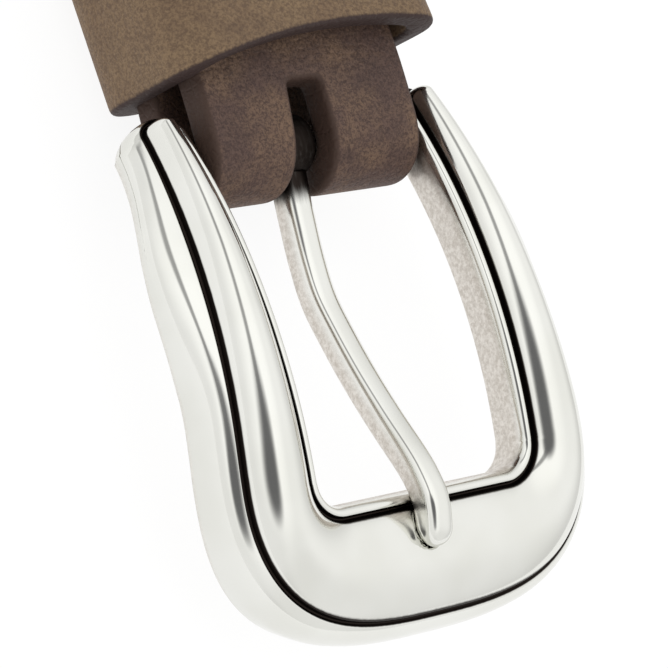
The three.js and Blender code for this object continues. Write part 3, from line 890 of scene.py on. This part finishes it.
# The light tent: patches laid one over the other, each with its direction, the angles in degrees
# within which it is full and beyond which it is gone, and its light.
TENT = (0.8, 0.8, 0.795, 1)
TENT_PATCHES = [((0.0, 0.0, 1.0), 45, 88, (1.08, 1.08, 1.075, 1)),
                ((-1.0, 0.0, 0.0), 40, 80, (0.97, 0.97, 0.965, 1)),
                ((0.2, -0.9, 0.4), 12, 44, (0.95, 0.95, 0.945, 1)),
                ((-0.45, 0.2, 0.87), 10, 55, (1.25, 1.25, 1.24, 1))]
# Its dark slit runs from the camera's opening over toward +Y: a band round SLIT_MIDDLE.
SLIT = (0.42, 0.42, 0.42, 1)
SLIT_TOWARD = Vector((-0.351, 0.80, 0.44))
SLIT_MIDDLE = Vector((-0.53, 0.35, 0.62)).normalized()
SLIT_FULL, SLIT_EDGE = 3, 9              # degrees to either side of its line
SLIT_INNER, SLIT_OUTER = 35, 48          # degrees along it
OPENING, OPENING_INNER, OPENING_OUTER = (0.16, 0.16, 0.165, 1), 9, 25


def camera():
    """The camera of the main view, standing where CAMERA_AT says."""
    scene = bpy.context.scene
    scene.view_settings.view_transform = "Standard"
    eye = bpy.data.objects.new("camera", bpy.data.cameras.new("camera"))
    eye.data.sensor_width = SENSOR
    eye.data.lens = CAMERA_LENS
    turn = Matrix((CAMERA_UP.cross(CAMERA_BACK), CAMERA_UP, CAMERA_BACK)).transposed().to_4x4()
    eye.matrix_world = Matrix.Translation(place(*CAMERA_AT)) @ turn
    scene.collection.objects.link(eye)
    scene.camera = eye


def floor():
    """White paper that glows a little, so that it stays white under the piece."""
    mesh = bpy.data.meshes.new("floor")
    corners = ((-1, -1), (1, -1), (1, 1), (-1, 1))
    mesh.from_pydata([(x * FLOOR_HALF, y * FLOOR_HALF, FLOOR_Z) for x, y in corners], [],
                     [(0, 1, 2, 3)])
    sheet = bpy.data.objects.new("floor", mesh)
    bpy.context.scene.collection.objects.link(sheet)
    paper = Look("floor_paper", Roughness=0.9, Base_Color=(0.12, 0.12, 0.12, 1),
                 Emission_Color=(1, 1, 1, 1), Emission_Strength=0.9)
    mesh.materials.append(paper.material)


def light_tent():
    """The world, a white tent painted by direction."""
    world = bpy.data.worlds.new("light_tent")
    bpy.context.scene.world = world
    world.use_nodes = True
    tree = world.node_tree
    way = tree.nodes.new("ShaderNodeTexCoord").outputs["Generated"]

    def cosine(direction):
        """Of the angle between the way looked and a direction."""
        node = tree.nodes.new("ShaderNodeVectorMath")
        node.operation = "DOT_PRODUCT"
        plug(node.inputs[0], way)
        plug(node.inputs[1], direction)
        return node.outputs["Value"]

    def patch(direction, inner, outer):
        """1 within inner degrees of a direction, 0 beyond outer degrees."""
        return ease(tree, cosine(direction), math.cos(math.radians(outer)),
                    math.cos(math.radians(inner)))

    light = TENT
    for direction, inner, outer, patch_light in TENT_PATCHES:
        light = mix_colours(tree, patch(direction, inner, outer), light, patch_light)
    aside = calculate(tree, "ABSOLUTE", cosine(CAMERA_BACK.cross(SLIT_TOWARD).normalized()))
    band = ease(tree, aside, math.sin(math.radians(SLIT_EDGE)), math.sin(math.radians(SLIT_FULL)))
    slit = calculate(tree, "MULTIPLY", band, patch(SLIT_MIDDLE, SLIT_INNER, SLIT_OUTER))
    light = mix_colours(tree, slit, light, SLIT)
    light = mix_colours(tree, patch(CAMERA_BACK, OPENING_INNER, OPENING_OUTER), light, OPENING)
    background = tree.nodes["Background"]
    plug(background.inputs["Color"], light)
    plug(background.inputs["Strength"], 1.0)


buckle_frame()
heel_bar()
prong()
strap()
keeper()
staples()
rivets()
camera()
floor()
light_tent()
